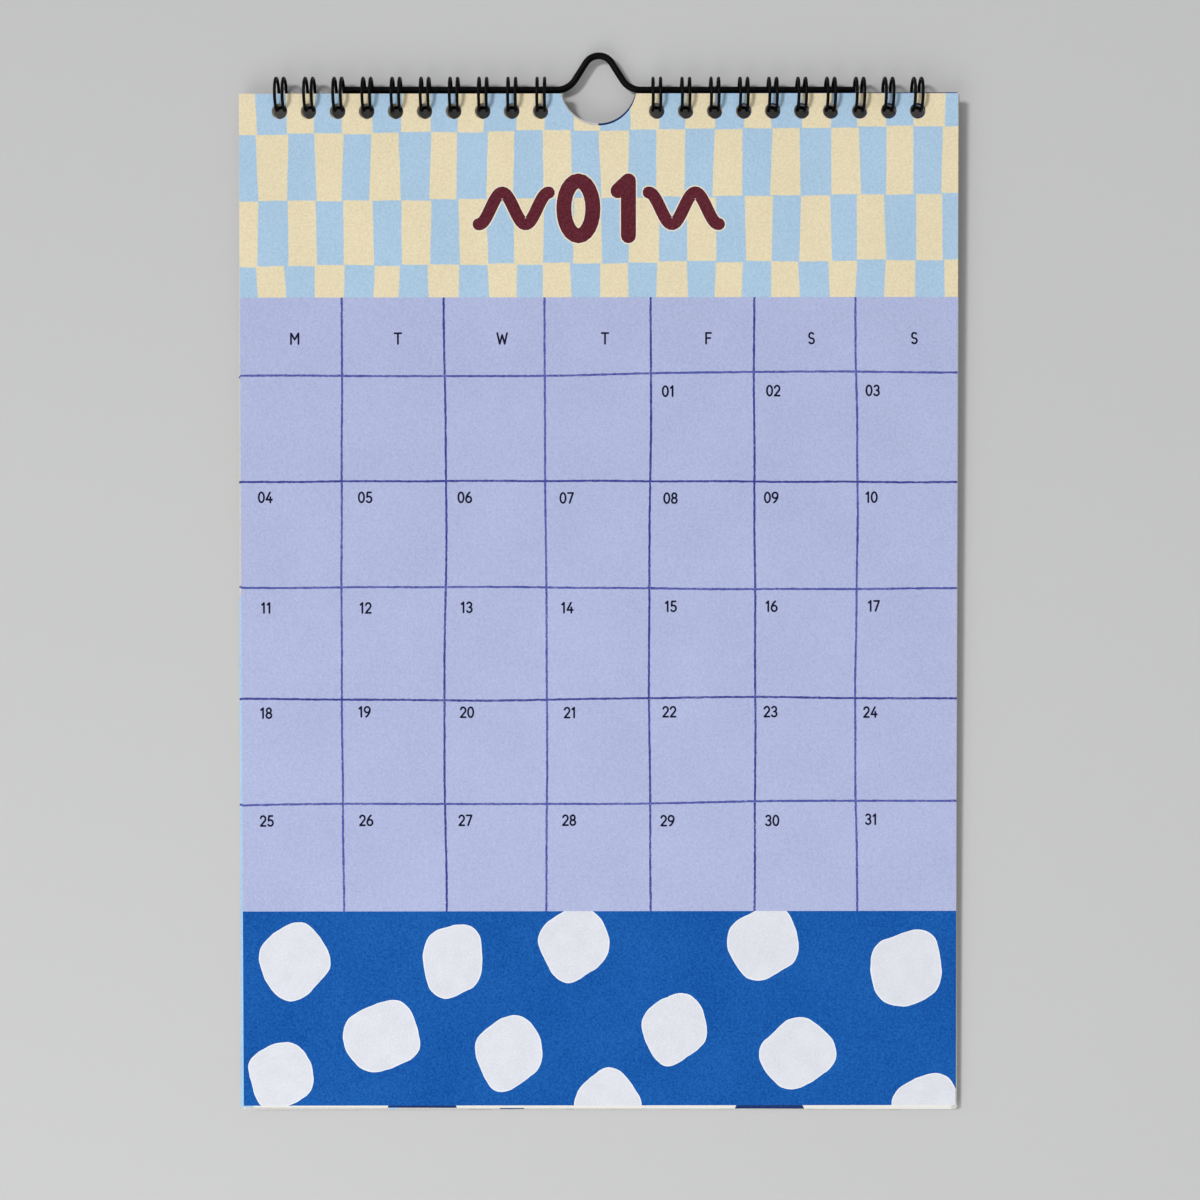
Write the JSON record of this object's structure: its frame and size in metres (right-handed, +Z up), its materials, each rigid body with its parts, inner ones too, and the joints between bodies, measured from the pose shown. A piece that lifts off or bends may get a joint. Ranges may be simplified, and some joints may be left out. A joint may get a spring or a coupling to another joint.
{
  "type": "wall calendar",
  "caption": "Wire-bound wall calendar with turning leaves, a thumb cut, twin-loop binding and a wire hanger that goes over a nail.",
  "frame": {"origin": "the underside of the bump in the hanger wire, where a nail carries it", "axes": "+Z up the sheets, -Y out of the printed front, +X to the right as the front is seen"},
  "size_m": [0.21, 0.0101, 0.3101],
  "materials": {
    "black_wire": "black nylon-like coat on steel wire, satin",
    "front_paper": "matt uncoated paper with printed fields of colour",
    "page_paper": "matt uncoated paper, plain backs and printed fronts",
    "back_board": "plain pale card"
  },
  "bodies": {
    "hanger": {"hanger": "black_wire"},
    "bound_calendar": {"binding_wire_left": "black_wire", "binding_wire_right": "black_wire", "leaf_block": "page_paper", "back_card": "back_board"},
    "front_leaf": {"front_leaf": "front_paper"}
  },
  "joints": [
    {"name": "hanger_swing", "type": "hinge", "parent": "hanger", "child": "bound_calendar", "pos_m": [0, 0, -0.009], "axis": [1, 0, 0], "range_deg": [-150, 170]},
    {"name": "leaf_turn", "type": "hinge", "parent": "bound_calendar", "child": "front_leaf", "pos_m": [0, -0.0027, -0.01085], "axis": [-1, 0, 0], "range_deg": [0, 180]}
  ]
}
